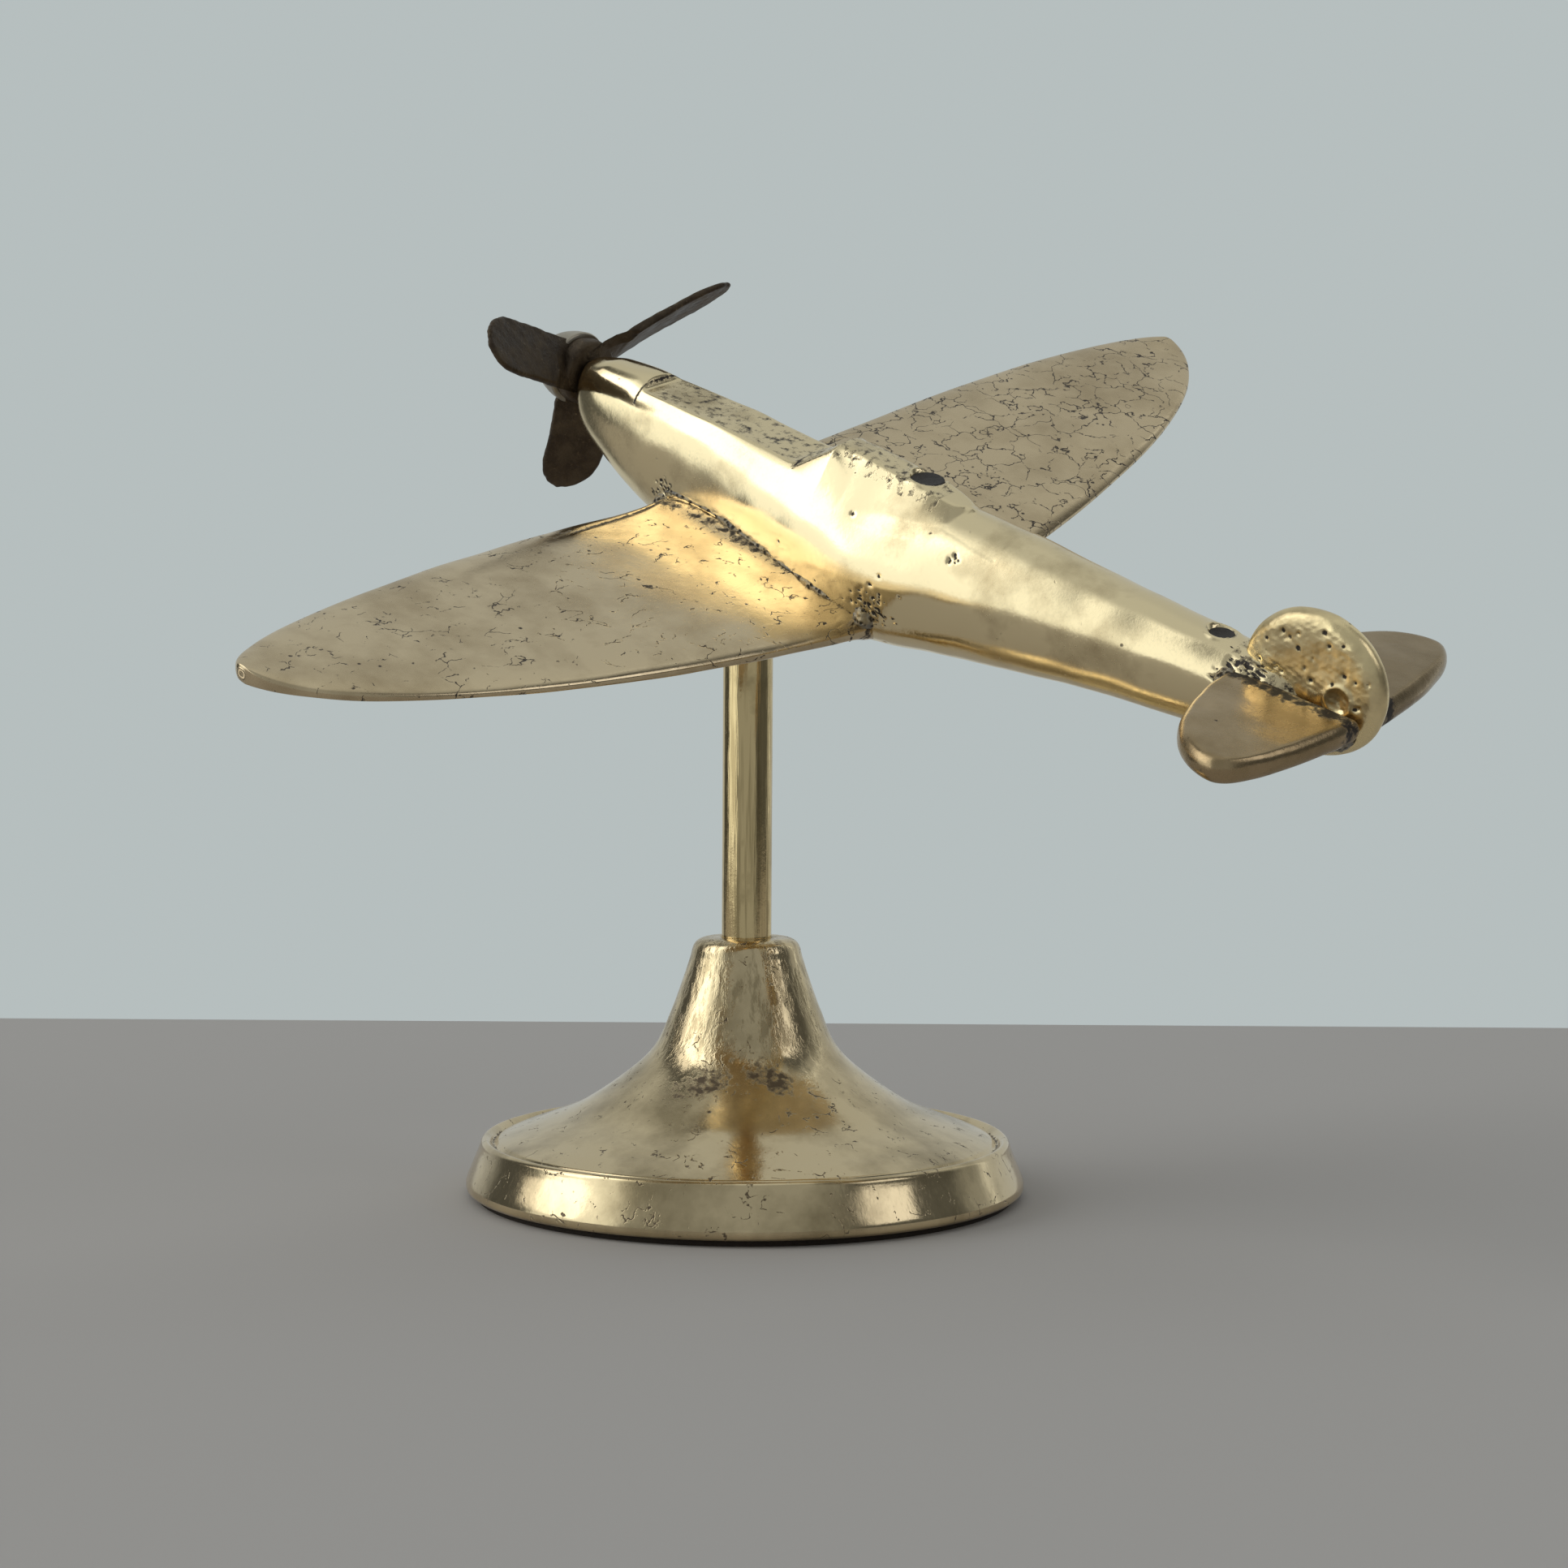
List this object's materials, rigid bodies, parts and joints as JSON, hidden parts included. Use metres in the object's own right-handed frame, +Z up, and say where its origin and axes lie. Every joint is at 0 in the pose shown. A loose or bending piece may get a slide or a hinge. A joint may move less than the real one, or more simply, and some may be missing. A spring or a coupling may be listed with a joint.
{
  "type": "propeller plane model",
  "caption": "Cast brass desk model of a low-wing propeller aeroplane in a banked climb on a rod and flared round base; the propeller spins and the plane turns on its post.",
  "frame": {"origin": "middle of the base's resting face, on the table, on the post's axis", "axes": "+Z up the post; +X the aeroplane's heading, so the nose points along +X and upwards; +Y its port side"},
  "size_m": [0.1595, 0.1948, 0.1481],
  "materials": {
    "base_bell": "polished, worn",
    "base_felt": "felt",
    "post": "polished",
    "post_washer": "dull",
    "post_nut": "dull",
    "fuselage": "polished cast",
    "wing_port": "polished, crazed lacquer",
    "wing_starboard": "polished, crazed lacquer",
    "wing_solder_port": "rough",
    "wing_solder_starboard": "rough",
    "tailplane_port": "polished cast",
    "tailplane_starboard": "polished cast",
    "fin_rudder": "coarse cast",
    "tail_solder": "rough",
    "spine_plug_front": "dark",
    "spine_plug_rear": "dark",
    "propeller_pin": "plain",
    "propeller_washer": "dull",
    "propeller": "dark tarnish",
    "spinner": "grey tarnish"
  },
  "bodies": {
    "stand": {"base_bell": "base_bell", "base_felt": "base_felt", "post": "post", "post_washer": "post_washer", "post_nut": "post_nut"},
    "airframe": {"fuselage": "fuselage", "wing_port": "wing_port", "wing_starboard": "wing_starboard", "wing_solder_port": "wing_solder_port", "wing_solder_starboard": "wing_solder_starboard", "tailplane_port": "tailplane_port", "tailplane_starboard": "tailplane_starboard", "fin_rudder": "fin_rudder", "tail_solder": "tail_solder", "spine_plug_front": "spine_plug_front", "spine_plug_rear": "spine_plug_rear", "propeller_pin": "propeller_pin", "propeller_washer": "propeller_washer"},
    "propeller": {"propeller": "propeller", "spinner": "spinner"}
  },
  "joints": [
    {"name": "plane_swivel", "type": "hinge", "parent": "stand", "child": "airframe", "pos_m": [0, 0, 0.104], "axis": [0, 0, 1], "continuous": true},
    {"name": "propeller_spin", "type": "hinge", "parent": "airframe", "child": "propeller", "pos_m": [0.03155, 0.00457, 0.13226], "axis": [0.9397, 0, 0.342], "continuous": true}
  ]
}
